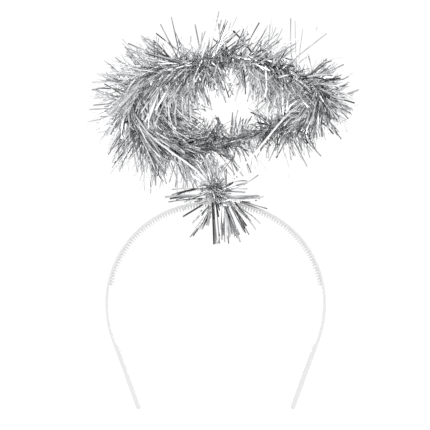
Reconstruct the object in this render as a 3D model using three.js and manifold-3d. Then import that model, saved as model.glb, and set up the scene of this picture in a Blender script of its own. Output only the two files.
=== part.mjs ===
// Halo headband: a moulded comb headband that carries a ring of tinsel on two white wires.
// Units are millimetres. +X is the viewer's right, -Y is the front and +Z is up.
// The origin is where the teeth of the comb rest on the crown of the head.

import * as THREE from "three";
import { mergeVertices } from "three/addons/utils/BufferGeometryUtils.js";
import Module from "manifold-3d";

const wasm = await Module();
wasm.setup();

const DEG = Math.PI / 180;
const QUARTER_TURN = 90 * DEG;
const FULL_TURN = 360 * DEG;

// Gap between pieces that touch
const gap = 0.3;

// Headband, with lengths and radii on its outer face, each side of the middle
const bandThickness = 1.5;
const bandWidthAtCrown = 7;
const bandWidthAtTip = 5;
const bandChamfer = 0.4;
const crownRadius = 83;
const crownSweep = 18 * DEG;
const shoulderRadius = 64;
const templeRadius = 70;
const templeSweep = 20 * DEG;
const legLength = 46.5;

// Thickened grips at the ends of the legs
const gripThickness = 2.5;
const gripLength = 44.5;
const gripShoulder = 2;

// Comb on the inner face
const toothLength = 2.2;
const toothPitch = 1.9;
const toothRootWidth = 1.45;
const toothTipWidth = 0.45;
const toothSideMargin = 1;
const toothSideTaper = 0.9;
const toothSunk = 0.5;
const combStopBeforeWidest = 11 * DEG;

// Ring of wire
const ringRadius = 60;
const ringWireRadius = 0.65;
const ringCentre = new THREE.Vector3(2.7, 0, 67.4);
const ringTilt = 22 * DEG;
const ringWireSides = 6;
const ringSteps = 60;

// The hand-bent ring, by the angle in degrees: 0 is the right and 90 the back.
// Its radius and its rise out of its plane are shares of ringRadius. Reach is the share of
// tinselReach that the locks have there, and sag is how much of it goes downwards.
const ringBends = [
  { angle: 0, radius: 1.0, rise: 0, reach: 1.06, sag: 0.06 },
  { angle: 38, radius: 1.0, rise: 0.11, reach: 0.92, sag: 0.28 },
  { angle: 80, radius: 1.0, rise: 0.03, reach: 0.88, sag: 0.35 },
  { angle: 112, radius: 1.02, rise: -0.07, reach: 0.92, sag: 0.35 },
  { angle: 142, radius: 1.04, rise: -0.11, reach: 0.95, sag: 0.32 },
  { angle: 168, radius: 1.04, rise: -0.04, reach: 0.85, sag: 0.2 },
  { angle: 190, radius: 1.0, rise: 0, reach: 0.82, sag: 0.1 },
  { angle: 225, radius: 1.02, rise: 0, reach: 0.9, sag: 0 },
  { angle: 270, radius: 1.0, rise: 0, reach: 1, sag: 0 },
  { angle: 325, radius: 0.97, rise: -0.03, reach: 1, sag: 0 },
];

// Two wires that hold the ring up
const stemWireRadius = 0.6;
const stemSides = 6;
const stemSteps = 26;
const stemMidX = 0.5;
const stemFootGap = 1.2;
const eyeSteps = 14;
const leftJoinAngle = 180;
const rightJoinAngle = 350;

// Each wire's bends, as shares of the way across and up from its foot to the ring
const leftStemBends = [
  { across: 0, up: 0.09 },
  { across: 0.085, up: 0.19 },
  { across: 0.22, up: 0.31 },
  { across: 0.52, up: 0.515 },
  { across: 0.7, up: 0.65 },
  { across: 0.8, up: 0.765 },
  { across: 0.9, up: 0.9 },
];
const rightStemBends = [
  { across: 0.03, up: 0.07 },
  { across: 0.12, up: 0.165 },
  { across: 0.405, up: 0.463 },
  { across: 0.77, up: 0.845 },
  { across: 0.86, up: 0.91 },
];

// Plain saddle on the crown that holds the feet of the wires
const saddleLength = 10;
const saddleRise = 3.2;
const saddleWall = 1;
const saddleFloor = 0.8;

// Tinsel: locks of foil that grow out of a twisted core all round it
const tinselCoreRadius = 3.2;
const tinselReach = 28;
const tinselStations = 84;
const tinselRows = 5;
const tinselTwists = 9;
const lockShortest = 0.72;
const lockTipShare = 0.36;

// Tuft of the same tinsel wound over the saddle
const tuftX = 2.5;
const tuftHeight = 1.5;
const tuftCoreLength = 17;
const tuftCoreRadius = 6.5;
const tuftFineness = 2;
const tuftReach = 34;
const tuftHang = 0.35;
const headClearance = 0.8;

// Makes a manifold solid of a closed three.js geometry.
function solidOf(geometry) {
  const bare = new THREE.BufferGeometry();
  bare.setAttribute("position", geometry.getAttribute("position"));
  bare.setIndex(geometry.index);
  const merged = mergeVertices(bare, 1e-4);
  return new wasm.Manifold(
    new wasm.Mesh({
      numProp: 3,
      vertProperties: merged.attributes.position.array,
      triVerts: new Uint32Array(merged.index.array),
    }),
  );
}

// Turns a manifold solid back into a three.js geometry.
function geometryOf(solid) {
  const { vertProperties, triVerts } = solid.getMesh();
  const geometry = new THREE.BufferGeometry();
  geometry.setAttribute("position", new THREE.BufferAttribute(vertProperties, 3));
  geometry.setIndex(new THREE.BufferAttribute(triVerts, 1));
  geometry.computeVertexNormals();
  return geometry;
}

// Joins a list of solids two by two.
function joined(solids) {
  let left = solids;
  while (left.length > 1) {
    const pairs = [];
    for (let i = 0; i < left.length; i += 2) {
      pairs.push(i + 1 < left.length ? left[i].add(left[i + 1]) : left[i]);
    }
    left = pairs;
  }
  return left[0];
}

// Keeps the largest body of a solid, so that clippings that hold on to nothing go.
function largestBody(solid) {
  return solid.decompose().reduce((most, body) => (body.volume() > most.volume() ? body : most));
}

// Lofts a closed geometry through sections of equally many points, with flat ends.
// Each section runs anticlockwise as seen from the last section's end.
function loft(sections) {
  const sides = sections[0].length;
  const positions = sections.flat().flatMap((point) => point.toArray());
  const index = [];
  for (let i = 0; i + 1 < sections.length; i++) {
    for (let j = 0; j < sides; j++) {
      const a = i * sides + j;
      const b = i * sides + ((j + 1) % sides);
      index.push(a, b, b + sides, a, b + sides, a + sides);
    }
  }
  const last = (sections.length - 1) * sides;
  for (let j = 1; j + 1 < sides; j++) {
    index.push(0, j + 1, j);
    index.push(last, last + j, last + j + 1);
  }
  const geometry = new THREE.BufferGeometry();
  geometry.setAttribute("position", new THREE.Float32BufferAttribute(positions, 3));
  geometry.setIndex(index);
  return geometry;
}

// A block that stands on z = 0 and narrows from its base to its top.
function taperedBlock(base, top, height) {
  const block = new THREE.BoxGeometry(1, 1, 1);
  const place = block.attributes.position;
  for (let i = 0; i < place.count; i++) {
    const size = place.getZ(i) < 0 ? base : top;
    place.setXYZ(
      i,
      place.getX(i) * size.x,
      place.getY(i) * size.y,
      (place.getZ(i) + 0.5) * height,
    );
  }
  return block;
}

// Headband

const shoulderSweep = QUARTER_TURN - crownSweep;
const bandTop = toothLength + bandThickness;
const bandArcs = [
  { radius: crownRadius, sweep: crownSweep },
  { radius: shoulderRadius, sweep: shoulderSweep },
  { radius: templeRadius, sweep: templeSweep },
];
const curvedLength = bandArcs.reduce((sum, arc) => sum + arc.radius * arc.sweep, 0);
const halfLength = curvedLength + legLength;

// The point on the outer face at a length from the middle, and the way the band runs there.
function bandAt(length) {
  let left = Math.abs(length);
  let heading = 0;
  let x = 0;
  let z = bandTop;
  for (const arc of bandArcs) {
    const turn = Math.min(left / arc.radius, arc.sweep);
    x += arc.radius * (Math.sin(heading + turn) - Math.sin(heading));
    z += arc.radius * (Math.cos(heading + turn) - Math.cos(heading));
    heading += turn;
    left -= turn * arc.radius;
  }
  x += left * Math.cos(heading);
  z -= left * Math.sin(heading);
  return { x, z, heading, side: length < 0 ? -1 : 1 };
}

// A point of the band at a length, at a depth inwards from the outer face.
function bandPoint(length, depth, y) {
  const at = bandAt(length);
  const x = at.x - depth * Math.sin(at.heading);
  return new THREE.Vector3(at.side * x, y, at.z - depth * Math.cos(at.heading));
}

function bandWidth(length) {
  return THREE.MathUtils.lerp(bandWidthAtCrown, bandWidthAtTip, Math.abs(length) / halfLength);
}

// How much is left of a size at a distance from the band's end, where the end is round.
function roundEnd(fromEnd, radius) {
  const inside = Math.max(0, 1 - fromEnd / radius);
  return Math.sqrt(1 - inside * inside);
}

function bandSection(length) {
  const fromEnd = halfLength - Math.abs(length);
  const gripStart = halfLength - gripLength;
  const rise = THREE.MathUtils.smoothstep(Math.abs(length), gripStart, gripStart + gripShoulder);
  const full = THREE.MathUtils.lerp(bandThickness, gripThickness, rise);
  const thickness = full * roundEnd(fromEnd, gripThickness / 2);
  const width = bandWidth(length) * roundEnd(fromEnd, bandWidthAtTip / 2);
  const outer = (full - thickness) / 2;
  const inner = outer + thickness;
  const corner = Math.min(bandChamfer, thickness / 4, width / 4);
  const edge = width / 2;
  const outline = [
    [outer, edge - corner],
    [outer, -edge + corner],
    [outer + corner, -edge],
    [inner - corner, -edge],
    [inner, -edge + corner],
    [inner, edge - corner],
    [inner - corner, edge],
    [outer + corner, edge],
  ];
  return outline.map(([depth, y]) => bandPoint(length, depth, y));
}

// Lengths at which the band has a section, from the middle to one end.
function bandStations() {
  const arcStep = 6 * DEG;
  const stations = [0];
  let start = 0;
  for (const arc of bandArcs) {
    const steps = Math.max(2, Math.round(arc.sweep / arcStep));
    for (let i = 1; i <= steps; i++) {
      stations.push(start + (arc.radius * arc.sweep * i) / steps);
    }
    start += arc.radius * arc.sweep;
  }
  const gripStart = halfLength - gripLength;
  const curved = stations.filter((length) => length < gripStart - gap);
  const shoulderSteps = 3;
  for (let i = 0; i <= shoulderSteps; i++) {
    curved.push(gripStart + (gripShoulder * i) / shoulderSteps);
  }
  const sharesOfRoundEnd = [1, 0.5, 0.25, 0.08, 0.02];
  for (const share of sharesOfRoundEnd) {
    curved.push(halfLength - (share * bandWidthAtTip) / 2);
  }
  return curved;
}

function strip() {
  const half = bandStations();
  const mirrored = half.slice(1).map((length) => -length);
  const lengths = [...mirrored.reverse(), ...half];
  return solidOf(loft(lengths.map(bandSection)));
}

function tooth(length) {
  const base = { x: toothRootWidth, y: bandWidth(length) - 2 * toothSideMargin };
  const top = { x: toothTipWidth, y: base.y - 2 * toothSideTaper };
  const block = taperedBlock(base, top, toothLength + toothSunk);
  const at = bandAt(length);
  const root = bandPoint(length, bandThickness - toothSunk, 0);
  block.rotateX(Math.PI);
  block.rotateY(at.side * at.heading);
  block.translate(root.x, root.y, root.z);
  return solidOf(block);
}

function headband() {
  const combLength =
    crownRadius * crownSweep + shoulderRadius * (shoulderSweep - combStopBeforeWidest);
  const teeth = [];
  for (let length = toothPitch / 2; length < combLength; length += toothPitch) {
    teeth.push(tooth(length), tooth(-length));
  }
  return strip().add(joined(teeth));
}

// Ring of wire

// A point at an angle round the ring, with its tilt, where the front is higher than the back.
function ringPoint(angle, radius, rise) {
  const point = new THREE.Vector3(Math.cos(angle) * radius, Math.sin(angle) * radius, rise);
  return point.applyAxisAngle(new THREE.Vector3(1, 0, 0), -ringTilt).add(ringCentre);
}

const ringCurve = new THREE.CatmullRomCurve3(
  ringBends.map((bend) =>
    ringPoint(bend.angle * DEG, bend.radius * ringRadius, bend.rise * ringRadius),
  ),
  true,
  "centripetal",
);

function ringTube(radius, sides) {
  return solidOf(new THREE.TubeGeometry(ringCurve, ringSteps, radius, sides, true));
}

// Wires

// The place round the ring's curve, from 0 to 1, that lies nearest an angle.
function ringPlaceAt(angle) {
  const wanted = ringPoint(angle * DEG, ringRadius, 0);
  let best = 0;
  for (let i = 1; i < ringSteps * 4; i++) {
    const place = i / (ringSteps * 4);
    const nearer =
      ringCurve.getPointAt(place).distanceTo(wanted) <
      ringCurve.getPointAt(best).distanceTo(wanted);
    best = nearer ? place : best;
  }
  return best;
}

const saddleTop = bandTop + gap + saddleRise;
const stemSpacing = 2 * stemWireRadius + stemFootGap;
const eyeRadius = ringWireRadius + gap + stemWireRadius;

// The wire's way from its foot in the saddle, through its bends, to the eye round the ring.
function stemRoute(side, bends, joinAngle) {
  const place = ringPlaceAt(joinAngle);
  const join = ringCurve.getPointAt(place);
  const footHeight = bandTop + gap + saddleFloor;
  const foot = new THREE.Vector3(stemMidX + (side * stemSpacing) / 2, 0, footHeight);
  const way = join.clone().sub(foot);
  const points = bends.map(
    (bend) => new THREE.Vector3(foot.x + bend.across * way.x, 0, foot.z + bend.up * way.z),
  );
  const tangent = ringCurve.getTangentAt(place);
  const toEye = points.at(-1).clone().sub(join).projectOnPlane(tangent).setLength(eyeRadius);
  const curve = new THREE.CatmullRomCurve3(
    [foot, ...points, join.clone().add(toEye)],
    false,
    "centripetal",
  );
  return { curve, foot, join, tangent };
}

const leftStem = stemRoute(-1, leftStemBends, leftJoinAngle);
const rightStem = stemRoute(1, rightStemBends, rightJoinAngle);

function roundSection(radius, sides) {
  const corners = [];
  for (let i = 0; i < sides; i++) {
    const angle = (i / sides) * 2 * Math.PI;
    corners.push(new THREE.Vector2(Math.cos(angle) * radius, Math.sin(angle) * radius));
  }
  return new THREE.Shape(corners);
}

// A wire with its eye, thickened all round by a margin.
function stemSolid(stem, margin) {
  const radius = stemWireRadius + margin;
  const wire = new THREE.ExtrudeGeometry(roundSection(radius, stemSides), {
    steps: stemSteps,
    extrudePath: stem.curve,
    bevelEnabled: false,
  });
  const eye = new THREE.TorusGeometry(eyeRadius, radius, stemSides, eyeSteps);
  const facing = new THREE.Quaternion().setFromUnitVectors(
    new THREE.Vector3(0, 0, 1),
    stem.tangent,
  );
  eye.applyQuaternion(facing).translate(...stem.join.toArray());
  return solidOf(wire).add(solidOf(eye));
}

// The room that a wire and its foot take, with the gap.
function stemRoom(stem) {
  const depth = 2 * gap;
  const foot = new THREE.CylinderGeometry(
    stemWireRadius + gap,
    stemWireRadius + gap,
    depth,
    stemSides,
  );
  foot.rotateX(QUARTER_TURN).translate(stem.foot.x, stem.foot.y, stem.foot.z);
  return stemSolid(stem, gap).add(solidOf(foot));
}

const stemsRoom = stemRoom(leftStem).add(stemRoom(rightStem));

// Saddle

// The saddle's block, thickened all round by a margin.
function saddleBlock(margin) {
  const width = bandWidthAtCrown + 2 * (gap + saddleWall + margin);
  const bottom = bandTop - bandThickness - margin;
  const height = saddleTop + margin - bottom;
  const block = new THREE.BoxGeometry(saddleLength + 2 * margin, width, height);
  block.translate(stemMidX, 0, bottom + height / 2);
  return solidOf(block);
}

// The room that the band takes under the saddle, with the gap.
function bandRoom() {
  const half = bandStations().filter((length) => length < 2 * saddleLength);
  const lengths = [...half.slice(1).map((length) => -length).reverse(), ...half];
  const sections = lengths.map((length) => {
    const edge = bandWidth(length) / 2 + gap;
    const below = bandThickness + toothLength;
    return [
      bandPoint(length, -gap, edge),
      bandPoint(length, -gap, -edge),
      bandPoint(length, below, -edge),
      bandPoint(length, below, edge),
    ];
  });
  return solidOf(loft(sections));
}

function saddle() {
  return saddleBlock(0).subtract(bandRoom()).subtract(stemsRoom);
}

// Tinsel

// A number from 0 to 1 that varies with a count in no visible order.
function scatter(count, salt) {
  const value = Math.sin(count * 12.9898 + salt * 78.233) * 43758.5453;
  return value - Math.floor(value);
}

function lockLength(reach, count) {
  return reach * THREE.MathUtils.lerp(lockShortest, 1, scatter(count, 1));
}

function middleOf(points) {
  const sum = points.reduce((total, point) => total.add(point), new THREE.Vector3());
  return sum.divideScalar(points.length);
}

// Grows a closed body from the cells of a core. A cell's corners run anticlockwise as seen from
// outside, and where it has a tip they rise as a lock to a smaller copy of the cell there.
function grown(cells) {
  const points = [];
  const fan = (corners) => {
    for (let k = 1; k + 1 < corners.length; k++) {
      points.push(corners[0], corners[k], corners[k + 1]);
    }
  };
  for (const { corners, tip } of cells) {
    if (!tip) {
      fan(corners);
      continue;
    }
    const middle = middleOf(corners);
    const top = corners.map((corner) =>
      corner.clone().sub(middle).multiplyScalar(lockTipShare).add(tip),
    );
    corners.forEach((corner, k) => {
      const next = (k + 1) % corners.length;
      points.push(corner, corners[next], top[next], corner, top[next], top[k]);
    });
    fan(top);
  }
  const geometry = new THREE.BufferGeometry().setFromPoints(points);
  return solidOf(geometry);
}

// A column of the ring's table at a place round the ring, from 0 to 1, between two rows.
function bendAt(place, column) {
  const row = ringCurve.getUtoTmapping(place) * ringBends.length;
  const before = ringBends[Math.floor(row) % ringBends.length];
  const after = ringBends[(Math.floor(row) + 1) % ringBends.length];
  return THREE.MathUtils.lerp(before[column], after[column], row % 1);
}

// The way out of the ring's wire at a place, turned about the wire.
function wayOut(place, turn) {
  const at = ringCurve.getPointAt(place % 1);
  const along = ringCurve.getTangentAt(place % 1);
  const outward = at.clone().sub(ringCentre).projectOnPlane(along).normalize();
  return { at, along, direction: outward.applyAxisAngle(along, -turn) };
}

// The garland: a core round the ring's wire, with a lock of foil on each cell of its surface.
function ringTinsel() {
  const turnAt = (station, row) =>
    FULL_TURN * (row / tinselRows + (tinselTwists * station) / tinselStations);
  const corners = [];
  for (let station = 0; station < tinselStations; station++) {
    for (let row = 0; row < tinselRows; row++) {
      const { at, direction } = wayOut(station / tinselStations, turnAt(station, row));
      corners.push(at.addScaledVector(direction, tinselCoreRadius));
    }
  }
  const cornerAt = (station, row) =>
    corners[(station % tinselStations) * tinselRows + (row % tinselRows)];
  const cells = [];
  for (let station = 0; station < tinselStations; station++) {
    for (let row = 0; row < tinselRows; row++) {
      const count = cells.length;
      const place = (station + 0.5) / tinselStations;
      const sway = 0.7 * (scatter(count, 2) - 0.5);
      const turn = turnAt(station + 0.5, row + 0.5 + sway);
      const { at, along, direction } = wayOut(place, turn);
      const length = lockLength(tinselReach * bendAt(place, "reach"), count);
      const pitchAtTip =
        (FULL_TURN * (ringRadius + Math.cos(turn) * length)) / tinselStations;
      const lean = pitchAtTip * (1 - lockTipShare) * (scatter(count, 3) - 0.5);
      direction.z -= bendAt(place, "sag");
      cells.push({
        corners: [
          cornerAt(station, row),
          cornerAt(station + 1, row),
          cornerAt(station + 1, row + 1),
          cornerAt(station, row + 1),
        ],
        tip: at.addScaledVector(direction, length).addScaledVector(along, lean),
      });
    }
  }
  const room = ringTube(ringWireRadius + gap, ringWireSides).add(stemsRoom);
  return largestBody(grown(cells).subtract(room));
}

const tuftCentre = new THREE.Vector3(tuftX, 0, bandTop + tuftHeight);

// Half the width of the space, under and beside the band, that the tuft leaves to the head.
const headRoomHalf = bandWidthAtCrown / 2 + headClearance;

// The end of the tuft's lock that grows from a place on its core, or none over the head.
function tuftTip(root, count) {
  const direction = root.clone().normalize();
  const hangs = direction.z < 0;
  if (hangs && Math.abs(root.y) < headRoomHalf) {
    return null;
  }
  if (hangs) {
    direction.y *= tuftHang;
    direction.normalize();
  }
  return root.clone().addScaledVector(direction, lockLength(tuftReach, count) - tuftCoreRadius);
}

// The tuft: a core over the saddle with locks all round, which hang before and behind the band.
function tuft() {
  const ball = new THREE.IcosahedronGeometry(tuftCoreRadius, tuftFineness);
  ball.scale(tuftCoreLength / 2 / tuftCoreRadius, 1, 1);
  ball.deleteAttribute("normal");
  ball.deleteAttribute("uv");
  const core = mergeVertices(ball, 1e-3);
  const place = core.attributes.position;
  const cells = [];
  for (let i = 0; i < core.index.count; i += 3) {
    const roots = [0, 1, 2].map((k) =>
      new THREE.Vector3().fromBufferAttribute(place, core.index.getX(i + k)),
    );
    const tip = tuftTip(middleOf(roots), i);
    cells.push({
      corners: roots.map((root) => root.add(tuftCentre)),
      tip: tip && tip.add(tuftCentre),
    });
  }
  const headRoomDepth = 2 * tuftReach;
  const headRoom = new THREE.BoxGeometry(4 * tuftReach, 2 * headRoomHalf, headRoomDepth);
  headRoom.translate(0, 0, bandTop + gap - headRoomDepth / 2);
  return largestBody(
    grown(cells)
      .subtract(saddleBlock(gap))
      .subtract(solidOf(headRoom))
      .subtract(stemsRoom),
  );
}

// The whole object

const whitePlastic = { color: 0xf2f2f0, roughness: 0.35, metalness: 0 };
const whiteWire = { color: 0xf6f6f4, roughness: 0.4, metalness: 0 };
const silverFoil = { color: 0xb4b6b9, roughness: 0.25, metalness: 1 };

function piece(name, solid, finish) {
  const mesh = new THREE.Mesh(geometryOf(solid), new THREE.MeshStandardMaterial(finish));
  mesh.name = name;
  return mesh;
}

const haloHeadband = new THREE.Group();
haloHeadband.add(
  piece("headband", headband(), whitePlastic),
  piece("saddle", saddle(), whitePlastic),
  piece("left_stem", stemSolid(leftStem, 0), whiteWire),
  piece("right_stem", stemSolid(rightStem, 0), whiteWire),
  piece("halo_ring", ringTube(ringWireRadius, ringWireSides), whiteWire),
  piece("ring_tinsel", ringTinsel(), silverFoil),
  piece("tinsel_tuft", tuft(), silverFoil),
);

export default haloHeadband;
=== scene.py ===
import math

import bmesh
import bpy
import numpy as np
from mathutils import Matrix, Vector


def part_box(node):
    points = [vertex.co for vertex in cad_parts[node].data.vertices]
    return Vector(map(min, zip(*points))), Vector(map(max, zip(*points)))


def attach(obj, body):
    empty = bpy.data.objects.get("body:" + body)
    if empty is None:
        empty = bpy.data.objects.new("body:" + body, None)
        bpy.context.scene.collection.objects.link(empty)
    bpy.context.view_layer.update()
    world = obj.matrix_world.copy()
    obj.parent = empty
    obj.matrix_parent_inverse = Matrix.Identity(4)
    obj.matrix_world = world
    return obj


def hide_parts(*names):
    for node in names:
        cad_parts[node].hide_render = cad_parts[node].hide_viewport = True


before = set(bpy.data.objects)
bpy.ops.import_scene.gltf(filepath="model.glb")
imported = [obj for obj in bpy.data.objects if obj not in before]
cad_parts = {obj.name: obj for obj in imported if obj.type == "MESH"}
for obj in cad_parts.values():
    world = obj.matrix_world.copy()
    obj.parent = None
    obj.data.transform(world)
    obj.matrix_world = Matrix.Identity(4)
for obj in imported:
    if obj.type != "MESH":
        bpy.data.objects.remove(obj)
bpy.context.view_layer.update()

# The photograph's view
# The headband stands upright, as it does on a head, and is seen straight from the front through a
# long lens. The floor is far below it, and the light is soft and white from all sides.

PHOTO_PIXELS = 430
METRES_PER_PIXEL = 0.000635
CAMERA_DISTANCE = 1.15
PHOTO_MIDDLE = (-0.00045, -0.00525)
SENSOR_WIDTH = 36
FLOOR_HEIGHT = -0.42
FLOOR_RADIUS = 2.2
WHITE_BEHIND = 1.02
ROOM_STRENGTH = 0.97


def aim_camera():
    data = bpy.data.cameras.new("photo_camera")
    data.sensor_width = SENSOR_WIDTH
    data.lens = SENSOR_WIDTH * CAMERA_DISTANCE / (PHOTO_PIXELS * METRES_PER_PIXEL)
    camera = bpy.data.objects.new("photo_camera", data)
    camera.location = (PHOTO_MIDDLE[0], -CAMERA_DISTANCE, PHOTO_MIDDLE[1])
    camera.rotation_euler = (math.radians(90), 0, 0)
    bpy.context.collection.objects.link(camera)
    bpy.context.scene.camera = camera


def soft_light(name, place, size, power):
    data = bpy.data.lights.new(name, "AREA")
    data.size = size
    data.energy = power
    light = bpy.data.objects.new(name, data)
    light.location = place
    towards = -light.location
    light.rotation_euler = towards.to_track_quat("-Z", "Y").to_euler()
    bpy.context.collection.objects.link(light)


def pale_room():
    """A white surround for the camera, and a greyer one for what the foil reflects."""
    world = bpy.data.worlds.new("pale_room")
    bpy.context.scene.world = world
    world.use_nodes = True
    nodes, links = world.node_tree.nodes, world.node_tree.links
    nodes.clear()
    seen = nodes.new("ShaderNodeBackground")
    seen.inputs["Color"].default_value = (1, 1, 1, 1)
    seen.inputs["Strength"].default_value = WHITE_BEHIND
    room = nodes.new("ShaderNodeBackground")
    room.inputs["Color"].default_value = (1, 1, 1, 1)
    room.inputs["Strength"].default_value = ROOM_STRENGTH
    path = nodes.new("ShaderNodeLightPath")
    mix = nodes.new("ShaderNodeMixShader")
    out = nodes.new("ShaderNodeOutputWorld")
    links.new(path.outputs["Is Camera Ray"], mix.inputs["Fac"])
    links.new(room.outputs["Background"], mix.inputs[1])
    links.new(seen.outputs["Background"], mix.inputs[2])
    links.new(mix.outputs["Shader"], out.inputs["Surface"])


def lay_floor():
    bpy.ops.object.select_all(action="DESELECT")
    bpy.ops.mesh.primitive_circle_add(vertices=96, radius=FLOOR_RADIUS, fill_type="NGON")
    floor = bpy.context.object
    floor.name = "floor"
    floor.data.transform(Matrix.Translation((0, 0, FLOOR_HEIGHT)))
    paint = bpy.data.materials.new("floor_paint")
    paint.use_nodes = True
    shader = paint.node_tree.nodes["Principled BSDF"]
    shader.inputs["Base Color"].default_value = (0.9, 0.9, 0.9, 1)
    shader.inputs["Roughness"].default_value = 0.8
    floor.data.materials.append(paint)


bpy.context.scene.view_settings.view_transform = "Standard"
aim_camera()
pale_room()
lay_floor()
soft_light("window_left", (-1.2, -1.0, 0.9), size=1.2, power=13)
soft_light("window_right", (1.4, -0.9, 0.4), size=1.0, power=9.5)
soft_light("top", (0, 0.2, 1.5), size=1.2, power=9)
soft_light("back", (0.3, 1.6, 0.4), size=1.2, power=7)

# Headband
# One moulding of white plastic with a soft gloss. A comb of fine teeth stands on its inner face and
# the ends of its legs are thickened as grips. The flat strip is bent to the curve of a head.

BAND_TOP = 0.0037
BAND_THICKNESS = 0.0015
CROWN_WIDTH = 0.007
TIP_WIDTH = 0.005
EDGE_ROUNDING = 0.0004
BAND_CUTS = 150
BAND_ARCS = [
    {"radius": 0.083, "sweep": math.radians(18)},
    {"radius": 0.064, "sweep": math.radians(72)},
    {"radius": 0.070, "sweep": math.radians(20)},
]
LEG_LENGTH = 0.0465
HALF_LENGTH = sum(arc["radius"] * arc["sweep"] for arc in BAND_ARCS) + LEG_LENGTH
GRIP_LENGTH = 0.0445
GRIP_SHOULDER = 0.002
GRIP_THICKNESS = 0.0025
GRIP_ROUNDING = 0.98
TOOTH_LENGTH = 0.0023
TOOTH_SUNK = 0.0005
TOOTH_PITCH = 0.0019
TOOTH_ROOT = (0.0015, 0.005)
TOOTH_TIP = (0.0007, 0.0034)
TOOTH_ROUNDING = 0.00012
COMB_HALF_LENGTH = 0.0942
MOULD_WHITE = (0.58, 0.58, 0.578, 1)
MOULD_SHADE = (0.545, 0.545, 0.547, 1)


def stand_alone():
    bpy.ops.object.select_all(action="DESELECT")


def pick(piece, kind, wanted):
    """Selects the faces or edges of a piece in edit mode that pass a test."""
    bpy.ops.mesh.select_mode(type="FACE" if kind == "faces" else "EDGE")
    bpy.ops.mesh.select_all(action="DESELECT")
    shape = bmesh.from_edit_mesh(piece.data)
    for part in getattr(shape, kind):
        part.select_set(wanted(part))
    bmesh.update_edit_mesh(piece.data)


def block(name, size, middle):
    """A cube given its size and place in its mesh, as the start of a piece."""
    stand_alone()
    bpy.ops.mesh.primitive_cube_add(size=1)
    piece = bpy.context.object
    piece.name = name
    piece.data.name = name
    piece.data.transform(Matrix.Translation(middle) @ Matrix.Diagonal((*size, 1)))
    return piece


def points_of(piece):
    points = np.empty(len(piece.data.vertices) * 3)
    piece.data.vertices.foreach_get("co", points)
    return points.reshape(-1, 3)


def move_points(piece, points):
    piece.data.vertices.foreach_set("co", points.ravel())
    piece.data.update()


def moulded_plastic():
    """White plastic, a little uneven in its gloss and shade, with the mould's fine grain."""
    finish = bpy.data.materials.new("moulded_plastic")
    finish.use_nodes = True
    nodes, links = finish.node_tree.nodes, finish.node_tree.links
    shader = nodes["Principled BSDF"]
    place = nodes.new("ShaderNodeTexCoord")
    cloud = nodes.new("ShaderNodeTexNoise")
    cloud.inputs["Scale"].default_value = 60
    shade = nodes.new("ShaderNodeValToRGB")
    shade.color_ramp.elements[0].color = MOULD_SHADE
    shade.color_ramp.elements[1].color = MOULD_WHITE
    gloss = nodes.new("ShaderNodeMapRange")
    gloss.inputs["To Min"].default_value = 0.32
    gloss.inputs["To Max"].default_value = 0.5
    grain = nodes.new("ShaderNodeTexNoise")
    grain.inputs["Scale"].default_value = 1400
    bump = nodes.new("ShaderNodeBump")
    bump.inputs["Strength"].default_value = 0.12
    bump.inputs["Distance"].default_value = 0.0002
    links.new(place.outputs["Object"], cloud.inputs["Vector"])
    links.new(place.outputs["Object"], grain.inputs["Vector"])
    links.new(cloud.outputs["Fac"], shade.inputs["Fac"])
    links.new(shade.outputs["Color"], shader.inputs["Base Color"])
    links.new(cloud.outputs["Fac"], gloss.inputs["Value"])
    links.new(gloss.outputs["Result"], shader.inputs["Roughness"])
    links.new(grain.outputs["Fac"], bump.inputs["Height"])
    links.new(bump.outputs["Normal"], shader.inputs["Normal"])
    return finish


def flat_strip():
    """The strip before it is bent: X runs along it, and its outer face lies on z = 0."""
    size = (2 * HALF_LENGTH, CROWN_WIDTH, BAND_THICKNESS)
    strip = block("headband_moulding", size, (0, 0, -BAND_THICKNESS / 2))
    bpy.ops.object.mode_set(mode="EDIT")
    pick(strip, "edges", lambda edge: edge.calc_length() > HALF_LENGTH)
    bpy.ops.mesh.bevel(offset=EDGE_ROUNDING, segments=3, affect="EDGES")
    cuts = list(np.linspace(0, HALF_LENGTH, BAND_CUTS // 2, endpoint=False))
    grip_start = HALF_LENGTH - GRIP_LENGTH
    cuts += [grip_start + GRIP_SHOULDER * share for share in (0, 0.25, 0.5, 0.75, 1)]
    cuts += [HALF_LENGTH - TIP_WIDTH / 2 * share for share in (0.8, 0.6, 0.4, 0.2, 0.08)]
    for x in sorted({round(side * cut, 6) for cut in cuts for side in (-1, 1)}):
        bpy.ops.mesh.select_all(action="SELECT")
        bpy.ops.mesh.bisect(plane_co=(x, 0, 0), plane_no=(1, 0, 0))
    bpy.ops.object.mode_set(mode="OBJECT")
    return strip


def round_end(from_end, radius):
    """How much is left of a size near an end that is round."""
    inside = np.clip(1 - from_end / radius, 0, GRIP_ROUNDING)
    return np.sqrt(1 - inside**2)


def shape_strip(points):
    """Narrows the strip to its ends, thickens the grips inwards and rounds the ends."""
    length = np.abs(points[:, 0])
    from_end = HALF_LENGTH - length
    rise = np.clip((length - (HALF_LENGTH - GRIP_LENGTH)) / GRIP_SHOULDER, 0, 1)
    full = BAND_THICKNESS + (GRIP_THICKNESS - BAND_THICKNESS) * rise**2 * (3 - 2 * rise)
    width = CROWN_WIDTH + (TIP_WIDTH - CROWN_WIDTH) * length / HALF_LENGTH
    depth = -points[:, 2] / BAND_THICKNESS
    kept = round_end(from_end, GRIP_THICKNESS / 2)
    points[:, 1] *= width / CROWN_WIDTH * round_end(from_end, TIP_WIDTH / 2)
    points[:, 2] = -(0.5 + (depth - 0.5) * kept) * full
    return points


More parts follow.
